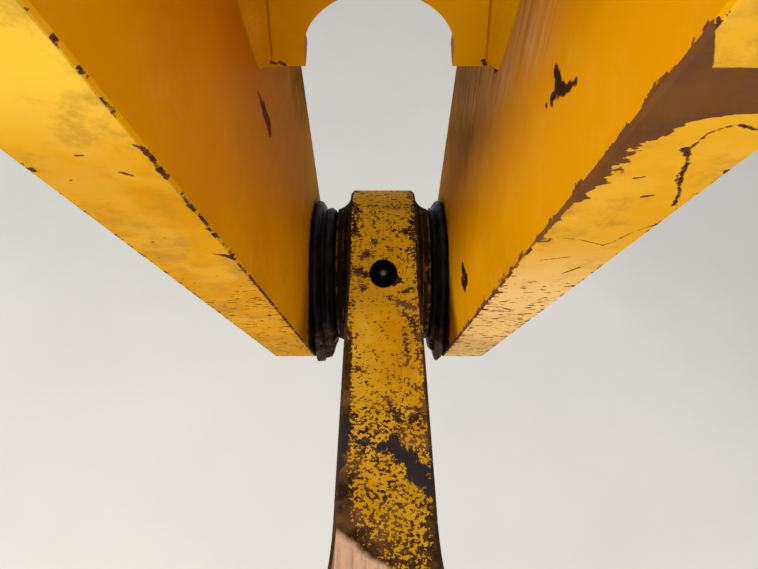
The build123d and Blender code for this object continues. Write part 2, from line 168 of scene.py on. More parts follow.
class Surface:
    """One procedural material, with a short call for each kind of node that it is made of."""

    def __init__(self, name):
        self.material = bpy.data.materials.new(name)
        self.material.use_nodes = True
        self.tree = self.material.node_tree
        self.tree.nodes.clear()
        self.shader = self.tree.nodes.new("ShaderNodeBsdfPrincipled")
        output = self.tree.nodes.new("ShaderNodeOutputMaterial")
        self.tree.links.new(self.shader.outputs["BSDF"], output.inputs["Surface"])
        coordinates = self.tree.nodes.new("ShaderNodeTexCoord")
        self.place = coordinates.outputs["Object"]
        self.normal = coordinates.outputs["Normal"]
        split = self.node("ShaderNodeSeparateXYZ", {"Vector": self.place})
        self.x, self.y, self.z = split.outputs

    def put(self, node, socket, value):
        target = node.inputs[socket]
        if isinstance(value, bpy.types.NodeSocket):
            self.tree.links.new(value, target)
        else:
            target.default_value = value

    def node(self, kind, inputs=None, **settings):
        node = self.tree.nodes.new(kind)
        for key, value in settings.items():
            setattr(node, key, value)
        for socket, value in (inputs or {}).items():
            self.put(node, socket, value)
        return node

    def math(self, operation, first, second=0.0, clamp=False):
        values = {0: first, 1: second}
        return self.node("ShaderNodeMath", values, operation=operation, use_clamp=clamp).outputs[0]

    def add(self, first, second):
        return self.math("ADD", first, second)

    def less(self, first, second):
        return self.math("SUBTRACT", first, second)

    def times(self, first, second):
        return self.math("MULTIPLY", first, second)

    def most(self, first, second):
        return self.math("MAXIMUM", first, second)

    def least(self, first, second):
        return self.math("MINIMUM", first, second)

    def absolute(self, value):
        return self.math("ABSOLUTE", value)

    def vector(self, operation, first, second):
        """A vector math node, with a vector as its first output and a number as its Value."""
        return self.node("ShaderNodeVectorMath", {0: first, 1: second}, operation=operation)

    def sway(self, texture, amount):
        """A texture moved to swing to both sides of 0, times amount."""
        return self.times(self.less(texture, 0.5), amount)

    def over(self, texture, limit):
        """1 where a texture is over its limit, 0 elsewhere, with a narrow soft edge."""
        return self.step(texture, limit, self.add(limit, CHIP_EDGE))

    def step(self, value, low, high):
        """0 at low, 1 at high, smooth between; high may be the lesser."""
        inputs = {"Value": value, "From Min": low, "From Max": high}
        return self.node("ShaderNodeMapRange", inputs, interpolation_type="SMOOTHSTEP").outputs[0]

    def along(self, direction, origin=(0, 0, 0)):
        """Distance of the surface point from origin along a direction."""
        direction = Vector(direction)
        dot = self.vector("DOT_PRODUCT", self.place, direction)
        return self.less(dot.outputs["Value"], direction.dot(Vector(origin)))

    def warp(self, stretch, turn):
        """Texture coordinates turned about X, then scaled."""
        inputs = {"Vector": self.place, "Rotation": (turn, 0, 0)}
        turned = self.node("ShaderNodeMapping", inputs)
        return self.vector("MULTIPLY", turned.outputs[0], stretch).outputs[0]

    def noise(self, scale, detail, rough, vector=None):
        inputs = {"Vector": vector or self.place, "Scale": scale, "Detail": detail, "Roughness": rough}
        return self.node("ShaderNodeTexNoise", inputs).outputs["Fac"]

    def streaks(self, stretch, turn, detail, rough):
        """Noise in the texture coordinates that warp gives."""
        return self.noise(1.0, detail, rough, vector=self.warp(stretch, turn))

    def mix(self, factor, first, second):
        node = self.node("ShaderNodeMix", data_type="RGBA")
        self.put(node, 0, factor)
        self.put(node, 6, first)
        self.put(node, 7, second)
        return node.outputs[2]

    def blend(self, factor, first, second):
        node = self.node("ShaderNodeMix", data_type="FLOAT")
        self.put(node, 0, factor)
        self.put(node, 2, first)
        self.put(node, 3, second)
        return node.outputs[0]

    def profile(self, value, low, high, points):
        """A curve through points, (share of the way from low to high, height), straight between."""
        share = self.node("ShaderNodeMapRange", {"Value": value, "From Min": low, "From Max": high})
        ramp = self.node("ShaderNodeValToRGB", {"Fac": share.outputs[0]})
        elements = ramp.color_ramp.elements
        while len(elements) < len(points):
            elements.new(0.5)
        for element, (place, height) in zip(elements, points):
            element.position = place
            element.color = (height, height, height, 1)
        return ramp.outputs["Color"]

    def stroke(self, start, end, radius, after=None):
        """How far inside a round-ended stroke from start to end the surface point is, in metres.

        after is an earlier result. The stroke is worked out after it, which keeps few values in use.
        """
        start, end = Vector(start), Vector(end)
        run = end - start
        place = self.place
        if after is not None:
            values = {0: after, 1: (1e-7, 1e-7, 1e-7), 2: self.place}
            place = self.node("ShaderNodeVectorMath", values, operation="MULTIPLY_ADD").outputs[0]
        away = self.vector("SUBTRACT", place, start).outputs[0]
        dot = self.vector("DOT_PRODUCT", away, run)
        share = self.math("DIVIDE", dot.outputs["Value"], run.length_squared, clamp=True)
        spot = self.node("ShaderNodeVectorMath", {0: run, "Scale": share}, operation="SCALE")
        gap = self.vector("DISTANCE", away, spot.outputs[0])
        return self.less(radius, gap.outputs["Value"])

    def strokes(self, rows):
        """The union of several strokes, each (start, end, radius)."""
        inside = None
        for row in rows:
            one = self.stroke(*row, after=inside)
            inside = one if inside is None else self.most(inside, one)
        return inside

    def shade(self, colour, roughness):
        self.put(self.shader, "Base Color", colour)
        self.put(self.shader, "Roughness", roughness)

    def bump(self, height, depth):
        node = self.node("ShaderNodeBump", {"Height": height, "Distance": depth, "Strength": 1.0})
        self.put(self.shader, "Normal", node.outputs[0])

    def rust(self, bare=0.0, dark=RUST_DARK, brown=RUST_BROWN):
        """Colour of rusty steel, darker and browner by turns; bare is the share that is clean metal."""
        coarse = self.noise(38, 4, 0.6)
        fine = self.noise(260, 5, 0.7)
        colour = self.mix(self.step(coarse, 0.38, 0.64), dark, brown)
        colour = self.mix(self.times(self.step(fine, 0.52, 0.72), 0.7), colour, RUST_ORANGE)
        return self.mix(bare, colour, BARE_STEEL)

    def finish(self, colour, roughness, relief, gloss=PAINT_GLOSS):
        """Paint with grainy rust in its hollows.

        relief is 1 in the chips that stand out as hollows. The bump works it out three times, so it
        leaves out the costly marks, which are in the colour alone.
        """
        self.shade(colour, roughness)
        self.shader.inputs["Specular IOR Level"].default_value = gloss
        self.shader.inputs["Specular Tint"].default_value = PAINT_SHEEN
        grain = self.noise(420, 4, 0.6)
        peel = self.noise(900, 2, 0.5)
        paint = self.times(self.less(1.0, relief), self.add(0.8, self.times(peel, 0.06)))
        height = self.add(paint, self.times(relief, self.times(grain, 0.45)))
        self.bump(height, 0.0005)
        return self.material


def front_edge(s):
    """Depth behind a plate's front edge face, and distance from the plate's inner face."""
    inward = s.less(PIVOT_LOBE, s.along(FRONT_NORMAL))
    beside = s.less(s.absolute(s.x), INNER_X)
    return inward, beside


def corner_wear(s, inward, beside, outer):
    """1 on the long corners of a plate's lower arm, falling to 0 beside them."""
    front = s.absolute(inward)
    rear = s.absolute(s.less(PIVOT_LOBE, s.along(REAR_NORMAL)))
    corner = s.least(s.most(outer, s.least(front, rear)), s.most(beside, rear))
    return s.times(s.step(corner, 0.006, 0.0005), s.step(s.z, -0.03, -0.06))


def fade_and_light_front(s, colour, on_front, lower, worn, pale):
    """The front edge face, with a painted highlight above, paler below on the worn plate from faded paint and
    painted sunlight, and smudged with dust.
    """
    share = worn / MOST_WORN
    # Painted highlight on the upper front edge face, weaker on the worn plate
    upper_highlight = s.times(on_front, s.step(s.z, -0.175, -0.115))
    colour = s.mix(s.times(upper_highlight, 0.6 - 0.42 * share), colour, YELLOW_HIGHLIGHT)
    # Paler patches on the front edge face: faded paint with painted sunlight on it
    faded_and_lit = s.times(on_front, s.add(pale, s.times(s.step(s.noise(26, 5, 0.65), 0.42, 0.66), 0.4)))
    colour = s.mix(faded_and_lit, colour, YELLOW_PALE)
    # Paler still low on the worn plate's front edge: faded paint with painted sunlight on it
    colour = s.mix(s.times(s.times(lower, on_front), 0.87 * share), colour, YELLOW_FADED_LIT)
    smudge = s.step(s.noise(24, 6, 0.72), 0.48, 0.64)
    smudge = s.times(smudge, s.less(1.0, s.times(lower, 0.9 * share)))
    return s.mix(s.times(s.times(smudge, on_front), 0.55), colour, DUST)


def dust_inner(s, colour, on_inner, worn, dust_from):
    """Dust and drips that run down a plate's inner face, behind and below the web."""
    drips = s.streaks((210, 210, 4), ARM_TURN, 5, 0.7)
    cloud = s.noise(15, 4, 0.6)
    edge = s.add(s.add(s.y, 0.06 - dust_from), s.times(s.add(s.z, 0.2), 0.522))
    rear = s.step(s.add(edge, s.sway(cloud, 0.14)), -0.012, 0.05)
    below_web = s.step(s.add(s.z, s.sway(cloud, 0.14)), -0.14, -0.21)
    below_web = s.times(below_web, s.step(s.z, -0.56, -0.40))
    area = s.times(on_inner, s.times(rear, below_web))
    dusty = s.times(area, s.add(0.45, s.times(s.step(drips, 0.40, 0.58), 0.55)))
    streak = s.times(s.step(drips, 0.57, 0.72), s.times(s.step(s.y, -0.08, 0.08), 0.25))
    dusty = s.most(dusty, s.times(on_inner, streak))
    tan = s.mix(s.step(s.noise(22, 4, 0.6), 0.42, 0.62), DUST, DUST_DARK)
    # Paler in a diagonal band just beneath the web, most on the worn plate
    band = s.less(s.along(LOWER_RUN - REARWARD * 1.3), 0.27)
    band = s.step(s.add(band, s.sway(cloud, 0.07)), 0.082, 0.030)
    beneath_web = s.times(s.add(0.3, s.times(band, 0.7)), 0.9 * worn / MOST_WORN)
    tan = s.mix(beneath_web, tan, PALE_TAN)
    colour = s.mix(s.times(dusty, 0.92), colour, tan)
    fine_drips = s.streaks((520, 520, 14), ARM_TURN, 4, 0.65)
    dark_run = s.most(s.step(drips, 0.47, 0.38), s.times(s.step(fine_drips, 0.50, 0.40), 0.7))
    colour = s.mix(s.times(s.times(area, dark_run), 0.6), colour, DUST_DEEP)
    # Darker towards the plate's rear edge, below the web
    deep = s.times(area, s.step(s.add(edge, s.sway(cloud, 0.1)), 0.045, 0.12))
    return s.mix(s.times(deep, 0.5), colour, DUST_DEEP), dusty


def collar_grease(s, on_inner):
    """Share of grease smeared on a plate's inner face round the collar."""
    across_pin = s.node("ShaderNodeCombineXYZ", {"Y": s.y, "Z": s.z}).outputs[0]
    from_pin = s.vector("DISTANCE", across_pin, (0, LINK_PIN.y, LINK_PIN.z)).outputs["Value"]
    ahead = s.along(CAKED_RUN, LINK_PIN)
    smear = s.add(from_pin, s.sway(s.noise(60, 4, 0.65), 0.04))
    smear = s.less(smear, s.times(s.step(ahead, 0.02, 0.085), 0.030))
    return s.times(on_inner, s.step(smear, 0.094, 0.080))


def flame_cut_chips(s, beside, outer, on_break, lower, worn):
    """Teeth of missing paint at the corners of the front edge, and dashes across it."""
    teeth = s.streaks((70, 1, 430), FRONT_TURN, 3, 0.65)
    reach = s.step(s.noise(11, 2, 0.5), 0.44, 0.62)
    tooth_limit = s.less(0.70, s.add(s.times(lower, 0.15 + worn), s.times(reach, 0.05)))
    inner_limit = s.add(tooth_limit, s.times(s.most(beside, 0), 20.0))
    outer_limit = s.add(s.add(tooth_limit, 0.03), s.times(s.most(outer, 0), 22.0))
    tooth = s.over(teeth, inner_limit)
    tooth = s.times(on_break, s.most(tooth, s.over(teeth, outer_limit)))
    dashes = s.streaks((150, 1, 640), FRONT_TURN, 3, 0.55)
    dash_limit = s.blend(s.step(s.z, -0.22, -0.38), 0.80, 0.630 - worn)
    dash = s.times(on_break, s.over(dashes, dash_limit))
    return s.most(tooth, dash)


def rubbed_corner(s, inward, beside, lower, worn):
    """The break of the inner front corner, rubbed bare along most of its length."""
    near_corner = s.step(s.most(inward, beside), 0.0030, 0.0022)
    break_line = s.times(s.step(s.least(inward, beside), 0.00010, 0.00025), near_corner)
    rubbed = s.step(s.add(s.noise(120, 4, 0.7), s.times(lower, 0.12 + worn)), 0.54, 0.57)
    return s.times(break_line, rubbed)


def outer_wear(s, outer, on_break):
    """Knocks and dirt on the outer faces and on all edges but the front one, most of them low down."""
    across_x = s.node("ShaderNodeSeparateXYZ", {"Vector": s.normal}).outputs[0]
    on_edge = s.times(s.step(s.absolute(across_x), 0.5, 0.3), s.less(1.0, on_break))
    exposed = s.most(s.step(outer, 0.0012, 0.0006), on_edge)
    knocks = s.noise(64, 5, 0.66)
    low_down = s.times(s.step(s.z, -0.34, -0.66), 0.085)
    knock = s.over(knocks, s.less(0.675, s.add(low_down, s.times(on_edge, 0.04))))
    scratches = s.step(s.streaks((1, 9, 360), 0.5, 3, 0.6), 0.665, 0.68)
    knock = s.most(knock, s.times(scratches, s.step(s.noise(9, 3, 0.6), 0.48, 0.55)))
    patches = s.step(s.noise(11, 6, 0.72), 0.44, 0.66)
    dirt = s.times(patches, s.add(0.25, s.times(s.step(s.z, -0.30, -0.66), 0.35)))
    return s.times(exposed, knock), s.times(exposed, dirt)


def lever_paint(
    name, marks=None, gouge=None, patch=None, base=YELLOW, cut_colour=GOUGE_RED,
    plate=False, worn=0.0, dust_from=0.0, pale=0.0,
):
    """Yellow paint on the lever, with chips to rust.

    marks, gouge and patch are functions that draw a piece's own chips, cuts and bare steel. plate adds
    what is only on the side plates: front edges with a painted highlight and painted sunlight on faded
    paint, dust, grease and the wear of the corners.
    """
    s = Surface(name)
    tone = s.noise(5, 3, 0.5)
    mottle = s.noise(46, 4, 0.6)
    colour = s.mix(s.step(tone, 0.35, 0.7), base, YELLOW_DEEP)
    colour = s.mix(s.times(s.step(mottle, 0.5, 0.8), 0.25), colour, YELLOW_PALE)
    grime = s.step(s.noise(13, 5, 0.7), 0.52, 0.8)
    colour = s.mix(s.times(grime, 0.3), colour, DUST)
    wear = 0.0
    if plate:
        inward, beside = front_edge(s)
        outer = s.less(OUTER_X, s.absolute(s.x))
        wear = corner_wear(s, inward, beside, outer)
    spots = s.noise(150, 4, 0.62)
    blotch = s.noise(21, 2, 0.5)
    chips = s.over(spots, s.less(s.add(0.74, s.times(blotch, 0.08)), s.times(wear, 0.25)))
    relief = chips
    roughness = s.add(0.46, s.times(mottle, 0.16))
    if plate:
        on_front = s.step(inward, 0.0006, 0.0002)
        on_break = s.step(inward, 0.0014, 0.0007)
        on_inner = s.step(beside, 0.0012, 0.0006)
        lower = s.step(s.z, -0.22, -0.36)
        colour = fade_and_light_front(s, colour, on_front, lower, worn, pale)
        colour, dusty = dust_inner(s, colour, on_inner, worn, dust_from)
        roughness = s.add(roughness, s.times(dusty, 0.3))
        smear = collar_grease(s, on_inner)
        chips = s.most(chips, flame_cut_chips(s, beside, outer, on_break, lower, worn))
        relief = chips
        chips = s.most(chips, rubbed_corner(s, inward, beside, lower, worn))
        knocks, dirt = outer_wear(s, outer, on_break)
        chips = s.most(chips, knocks)
        colour = s.mix(dirt, colour, DUST)
    if marks:
        inside = s.add(marks(s), s.sway(s.noise(330, 4, 0.75), 0.0034))
        chips = s.most(chips, s.step(inside, -0.0002, 0.0004))
    rust = s.rust()
    if patch:
        bare = patch(s, inward, beside)
        stain = s.step(s.noise(42, 5, 0.7), 0.40, 0.60)
        smooth_rust = s.mix(stain, RUST_SMOOTH, RUST_BROWN)
        cloud = s.step(s.noise(17, 4, 0.6), 0.5, 0.62)
        smooth_rust = s.mix(s.times(cloud, 0.45), smooth_rust, DUST_DARK)
        rust = s.mix(s.times(bare, 0.85), rust, smooth_rust)
        chips = s.most(chips, bare)
    colour = s.mix(chips, colour, rust)
    roughness = s.blend(chips, roughness, 0.85)
    if gouge:
        cut = s.step(s.add(gouge(s), s.sway(s.noise(160, 4, 0.7), 0.006)), -0.0002, 0.0008)
        torn = s.step(s.noise(150, 3, 0.6), 0.45, 0.62)
        colour = s.mix(cut, colour, s.mix(s.times(torn, 0.8), cut_colour, RUST_DARK))
    if plate:
        colour = s.mix(s.times(smear, 0.96), colour, GREASE)
        roughness = s.blend(smear, roughness, 0.42)
    return s.finish(colour, roughness, relief, PLATE_GLOSS if plate else PAINT_GLOSS)


def placed(on, rows):
    """Strokes that lie on a surface, each row the start, the end and the radius on it."""
    return [(on(a, b), on(c, d), radius) for a, b, c, d, radius in rows]


def on_left_inner(y, z):
    return (-INNER_X, y, z)


def on_right_inner(y, z):
    return (INNER_X, y, z)


def on_front(x, z):
    """A point on a plate's front edge face."""
    return (x, (PIVOT_LOBE - z * FRONT_NORMAL.z) / FRONT_NORMAL.y, z)


def left_marks(s):
    """Chips along the left plate's inner corner and a few on its front edge."""
    rows = (
        (-0.0752, -0.1205, -0.0752, -0.1262, 0.0007),
        (-0.0754, -0.1325, -0.0752, -0.1365, 0.0010),
        (-0.0772, -0.1540, -0.0758, -0.1572, 0.0011),
        (-0.0758, -0.1572, -0.0754, -0.1640, 0.0012),
        (-0.0757, -0.1650, -0.0756, -0.1700, 0.0010),
        (-0.0760, -0.1705, -0.0756, -0.1772, 0.0015),
        (-0.0756, -0.1950, -0.0754, -0.2005, 0.0010),
        (-0.0760, -0.2015, -0.0754, -0.2075, 0.0014),
        (-0.0756, -0.2160, -0.0754, -0.2178, 0.0010),
        (-0.0765, -0.2275, -0.0754, -0.2310, 0.0010),
        (-0.0762, -0.2345, -0.0754, -0.2385, 0.0012),
        (-0.0838, -0.2628, -0.0790, -0.2650, 0.0011),
        (-0.0795, -0.2650, -0.0758, -0.2680, 0.0022),
        (-0.0775, -0.2690, -0.0755, -0.2738, 0.0013),
        (-0.0760, -0.2800, -0.0754, -0.2930, 0.0009),
        (-0.0905, -0.1722, -0.0875, -0.1748, 0.0008),
        (-0.0998, -0.1604, -0.0972, -0.1600, 0.0007),
        (-0.1118, -0.1790, -0.1110, -0.1782, 0.0006),
        (-0.1084, -0.2452, -0.1078, -0.2446, 0.0006),
        (-0.1003, -0.2394, -0.1001, -0.2392, 0.0005),
        (-0.1150, -0.2700, -0.1146, -0.2696, 0.0005),
    )
    return s.strokes(placed(on_front, rows))


def right_marks(s):
    """Cracks and chips on the right plate's front edge, and a few on its inner face."""
    front_rows = (
        (0.0981, -0.1558, 0.1008, -0.1596, 0.0014),
        (0.1008, -0.1596, 0.1040, -0.1656, 0.0006),
        (0.1041, -0.1659, 0.1062, -0.1725, 0.0011),
        (0.1068, -0.1735, 0.1095, -0.1810, 0.0009),
        (0.1056, -0.1745, 0.1080, -0.1800, 0.0004),
        (0.1095, -0.1810, 0.1145, -0.1905, 0.0006),
        (0.1145, -0.1915, 0.1178, -0.2010, 0.0008),
        (0.1160, -0.1950, 0.1210, -0.2050, 0.0003),
        (0.0996, -0.1569, 0.1000, -0.1467, 0.0004),
        (0.1000, -0.1467, 0.1034, -0.1429, 0.0004),
        (0.1034, -0.1429, 0.1068, -0.1418, 0.0006),
        (0.1068, -0.1418, 0.1133, -0.1444, 0.0007),
        (0.0869, -0.2398, 0.0944, -0.2412, 0.0004),
        (0.0944, -0.2412, 0.1086, -0.2493, 0.0005),
        (0.1086, -0.2493, 0.1115, -0.2446, 0.0006),
        (0.1115, -0.2446, 0.1150, -0.2311, 0.0004),
        (0.1150, -0.2311, 0.1220, -0.2208, 0.0004),
        (0.0855, -0.2732, 0.0985, -0.2676, 0.0005),
        (0.1049, -0.2981, 0.1103, -0.2863, 0.0008),
        (0.1018, -0.1930, 0.1049, -0.1915, 0.0010),
        (0.0914, -0.1770, 0.0945, -0.1759, 0.0006),
    )
    inner_rows = (
        (-0.0805, -0.3744, -0.0870, -0.3806, 0.0010),
        (-0.0816, -0.3796, -0.0853, -0.3728, 0.0009),
        (-0.0959, -0.3268, -0.0974, -0.3243, 0.0009),
        (0.0348, -0.2674, 0.0195, -0.2551, 0.0022),
        (0.0294, -0.2699, 0.0192, -0.2597, 0.0018),
    )
    return s.strokes(placed(on_front, front_rows) + placed(on_right_inner, inner_rows))


def right_scars(s):
    """The dark scar near the front of the right plate's inner face, and the chip beside its collar."""
    rows = (
        (-0.0768, -0.1834, -0.0810, -0.1836, 0.0033),
        (-0.0810, -0.1836, -0.0868, -0.1840, 0.0042),
        (-0.0836, -0.1868, -0.0926, -0.1794, 0.0033),
        (-0.0926, -0.1794, -0.0972, -0.1738, 0.0025),
        (-0.0972, -0.1738, -0.0999, -0.1690, 0.0020),
        (-0.0849, -0.1884, -0.0822, -0.1944, 0.0025),
        (-0.0826, -0.1946, -0.0850, -0.1938, 0.0020),
        (-0.0785, -0.2010, -0.0790, -0.2004, 0.0016),
        (-0.0060, -0.4560, -0.0290, -0.4400, 0.0056),
        (-0.0160, -0.4630, -0.0300, -0.4500, 0.0050),
    )
    return s.strokes(placed(on_right_inner, rows))


def web_marks(s):
    """Chips at the free end of the lower web, beside its welds."""
    rows = (
        ((-0.0735, 0.0240, -0.2606), (-0.0728, 0.0245, -0.2612), 0.0014),
        ((-0.0680, 0.0250, -0.2606), (-0.0645, 0.0250, -0.2618), 0.0012),
        ((-0.0625, 0.0250, -0.2606), (-0.0598, 0.0255, -0.2625), 0.0014),
        ((0.0655, 0.0250, -0.2590), (0.0672, 0.0256, -0.2625), 0.0016),
        ((0.0690, 0.0250, -0.2560), (0.0716, 0.0256, -0.2640), 0.0011),
    )
    return s.strokes(rows)


# The right plate's bare patch: its width, in tenths of a metre, from one height to the other
PATCH_HEIGHTS = (-0.26, -0.10)
PATCH_WIDTHS = (
    (0.0, 0.006), (0.085, 0.008), (0.19, 0.018), (0.39, 0.026), (0.47, 0.048), (0.52, 0.064), (0.61, 0.080),
    (0.65, 0.078), (0.69, 0.096), (0.71, 0.118), (0.737, 0.167), (0.76, 0.23), (0.775, 0.30), (0.794, 0.60),
)


def right_patch(s, inward, beside):
    """The bare patch that runs along the right plate's front edge, wide above and narrow below."""
    width = s.profile(s.z, *PATCH_HEIGHTS, PATCH_WIDTHS)
    ragged = s.add(
        s.sway(s.streaks((110, 1, 420), FRONT_TURN, 3, 0.6), 0.018),
        s.sway(s.noise(90, 4, 0.65), 0.008),
    )
    ragged = s.add(ragged, s.sway(s.streaks((48, 1, 150), FRONT_TURN, 2, 0.5), 0.022))
    over = s.less(s.times(s.less(s.noise(75, 4, 0.65), 0.42), 0.022), s.most(inward, 0.0))
    inside = s.add(s.less(s.times(width, 0.1), beside), s.times(ragged, s.step(beside, 0.0, 0.006)))
    inside = s.least(inside, s.add(over, s.times(s.step(inward, 0.0016, 0.0008), 0.05)))
    rise = s.times(s.most(s.less(0.0082, beside), 0.0), 1.9)
    below_top = s.less(s.add(-0.1152, rise), s.add(s.z, s.times(ragged, 0.12)))
    return s.times(s.step(inside, -0.0003, 0.0005), s.step(below_top, -0.0003, 0.0005))


def left_gouge(s):
    """The red gouge in the left plate's inner face."""
    rows = (
        (0.0034, -0.2645, 0.0060, -0.2740, 0.0014),
        (0.0060, -0.2740, 0.0084, -0.2840, 0.0034),
        (0.0084, -0.2840, 0.0110, -0.2955, 0.0054),
        (0.0110, -0.2955, 0.0124, -0.3050, 0.0060),
    )
    return s.strokes(placed(on_left_inner, rows))


def on_link(x, forward):
    """A point on the link's top face."""
    spot = LINK_PIN + LINK_RUN * forward + LINK_UP * LINK_BAR_HALF_DEPTH
    return (x, spot.y, spot.z)


def on_eye(x, angle):
    """A point on the round of the link's rear eye, its angle counted from +Y towards +Z."""
    turn = math.radians(angle)
    return (x, LINK_PIN.y + EYE_RADIUS * math.cos(turn), LINK_PIN.z + EYE_RADIUS * math.sin(turn))


def on_neck(x, forward):
    """A point on the hollow between the link's rear eye and its top face."""
    raised = NECK_RAISED - math.sqrt(NECK_RADIUS**2 - (NECK_FORWARD - forward) ** 2)
    spot = LINK_PIN + LINK_RUN * forward + LINK_UP * raised
    return (x, spot.y, spot.z)


# The limit of the link's specks, from one distance ahead of the link pin to the other
SPECK_PLACES = (-0.13, 0.65)
SPECK_LIMITS = (
    (0.0, 0.62), (0.08, 0.60), (0.22, 0.595), (0.28, 0.61), (0.32, 0.64), (0.38, 0.645), (0.42, 0.60),
    (0.455, 0.575), (0.487, 0.548), (0.513, 0.505), (0.538, 0.515), (0.558, 0.555), (0.59, 0.53),
    (0.615, 0.49), (0.647, 0.47), (1.0, 0.44),
)


def speck_limit(s, forward, beside, lateral, raised, patches):
    """Limit that the link's specks of missing paint lie over, lower where it is more worn."""
    limit = s.profile(forward, *SPECK_PLACES, SPECK_LIMITS)
    edge = s.step(s.add(beside, s.sway(patches, 0.045)), 0.024, 0.034)
    left = s.step(s.less(lateral, s.sway(patches, 0.06)), 0.004, -0.030)
    worn = s.add(s.times(edge, 0.13), s.times(left, s.times(s.step(forward, 0.30, 0.35), 0.2)))
    worn = s.add(worn, s.times(s.step(patches, 0.53, 0.66), 0.05))
    strip = s.step(s.add(lateral, s.sway(patches, 0.012)), -0.0272, -0.0300)
    worn = s.add(worn, s.times(strip, s.times(s.step(forward, 0.13, 0.20), 0.22)))
    worn = s.times(worn, s.step(raised, 0.045, 0.065))
    return s.less(limit, worn), edge


def link_clusters(s):
    """Clusters of missing paint on the eye, in the neck and along the top face."""
    eye_rows = (
        (-0.0280, 72.5, -0.0215, 78.5, 0.0036),
        (-0.0120, 73.0, 0.0208, 74.3, 0.0016),
        (0.0095, 86.5, 0.0118, 87.2, 0.0014),
        (0.0244, 93.6, 0.0345, 97.1, 0.0034),
    )
    neck_rows = (
        (-0.0050, 0.0478, -0.0042, 0.0490, 0.0036),
        (-0.0180, 0.0634, -0.0125, 0.0611, 0.0040),
        (-0.0225, 0.0800, -0.0140, 0.0870, 0.0052),
        (-0.0290, 0.0500, -0.0300, 0.0980, 0.0018),
    )
    top_rows = (
        (-0.0168, 0.1030, -0.0160, 0.1055, 0.0036),
        (0.0232, 0.1109, 0.0313, 0.1066, 0.0034),
        (0.0054, 0.1166, 0.0200, 0.1240, 0.0016),
        (0.020, 0.126, 0.032, 0.132, 0.0050),
        (0.022, 0.140, 0.034, 0.150, 0.0030),
        (0.030, 0.152, 0.036, 0.172, 0.0034),
        (0.024, 0.163, 0.025, 0.200, 0.0016),
        (-0.020, 0.205, -0.014, 0.212, 0.0016),
        (0.006, 0.236, 0.016, 0.262, 0.0030),
    )
    rows = placed(on_eye, eye_rows) + placed(on_neck, neck_rows) + placed(on_link, top_rows)
    inside = s.add(s.strokes(rows), s.sway(s.noise(300, 5, 0.75), 0.034))
    return s.step(inside, -0.0002, 0.0006)


def side_wear(s, forward, lateral, raised):
    """Share of the paint that is gone from the link's bevels, shoulders and sides."""
    flakes = s.noise(95, 5, 0.7)
    keep = s.add(0.60, s.times(s.step(lateral, 0.03, -0.03), 0.06))
    below_bevel = s.times(s.step(raised, 0.064, 0.050), s.times(s.step(forward, 0.10, 0.15), 0.11))
    keep = s.less(keep, below_bevel)
    bare = s.step(flakes, keep, s.less(keep, 0.015))
    rubs = s.streaks((330, 14, 14), 0.0, 3, 0.6)
    held = s.times(s.step(rubs, 0.60, 0.66), s.step(lateral, -0.02, 0.02))
    return s.times(bare, s.less(1.0, s.times(held, 0.8)))


def shoulder_rims(s, beside, shoulder):
    """Thin ochre lines along the steps of the link's shoulders."""
    rim = s.step(s.absolute(s.less(beside, 0.0506)), 0.0011, 0.0004)
    rim = s.most(rim, s.step(s.absolute(s.less(beside, 0.0436)), 0.0006, 0.0002))
    return s.times(s.times(rim, shoulder), s.step(s.noise(40, 4, 0.7), 0.46, 0.56))


def recess_grease(s):
    """Torn paint beside the grease recess, and the recess itself with its rim."""
    core = Vector((LINK_MIDDLE_X, LINK_PIN.y, LINK_PIN.z)) + RECESS_RUN * 0.06
    rows = (
        (0.0150, 0.0840, 0.0200, 0.0945, 0.0030),
        (0.0200, 0.0945, 0.0235, 0.0980, 0.0017),
        (0.0150, 0.1000, 0.0205, 0.0960, 0.0026),
    )
    torn = s.strokes(placed(on_neck, rows))
    torn = s.step(s.add(torn, s.sway(s.noise(240, 4, 0.7), 0.009)), -0.0002, 0.0004)
    hole = s.stroke(core, core + RECESS_RUN * 0.08, 0.0145, after=torn)
    hole = s.step(s.add(hole, s.sway(s.noise(210, 2, 0.5), 0.0018)), -0.0002, 0.0003)
    return torn, hole


def bare_steel(s):
    """Share of clean dark steel, in the worn band across the middle of the link."""
    rows = (
        (0.000, 0.284, 0.012, 0.277, 0.0045),
        (0.010, 0.280, 0.021, 0.292, 0.0070),
        (0.020, 0.291, 0.031, 0.308, 0.0080),
        (0.033, 0.304, 0.038, 0.318, 0.0045),
        (-0.031, 0.262, -0.034, 0.300, 0.0080),
        (-0.020, 0.278, -0.003, 0.280, 0.0016),
    )
    inside = s.add(s.strokes(placed(on_link, rows)), s.sway(s.noise(150, 6, 0.75), 0.030))
    return s.step(inside, -0.0006, 0.0008)


def sunlit_rubbed_steel(s, forward, lateral, raised, patches):
    """Share of steel rubbed bare on the left of the top face, from where the flare begins, painted pale as if
    sunlit.
    """
    sunlit_rub = s.less(s.less(forward, 0.346), s.times(s.add(lateral, 0.0336), 0.62))
    sunlit_rub = s.add(sunlit_rub, s.sway(s.noise(40, 4, 0.6), 0.014))
    on_top = s.step(raised, 0.0745, 0.0749)
    sunlit_rub = s.times(s.times(s.step(sunlit_rub, 0.0, 0.006), on_top), s.step(lateral, 0.012, 0.0))
    faded = s.add(forward, s.sway(patches, 0.08))
    return s.times(sunlit_rub, s.step(faded, 0.435, 0.395))


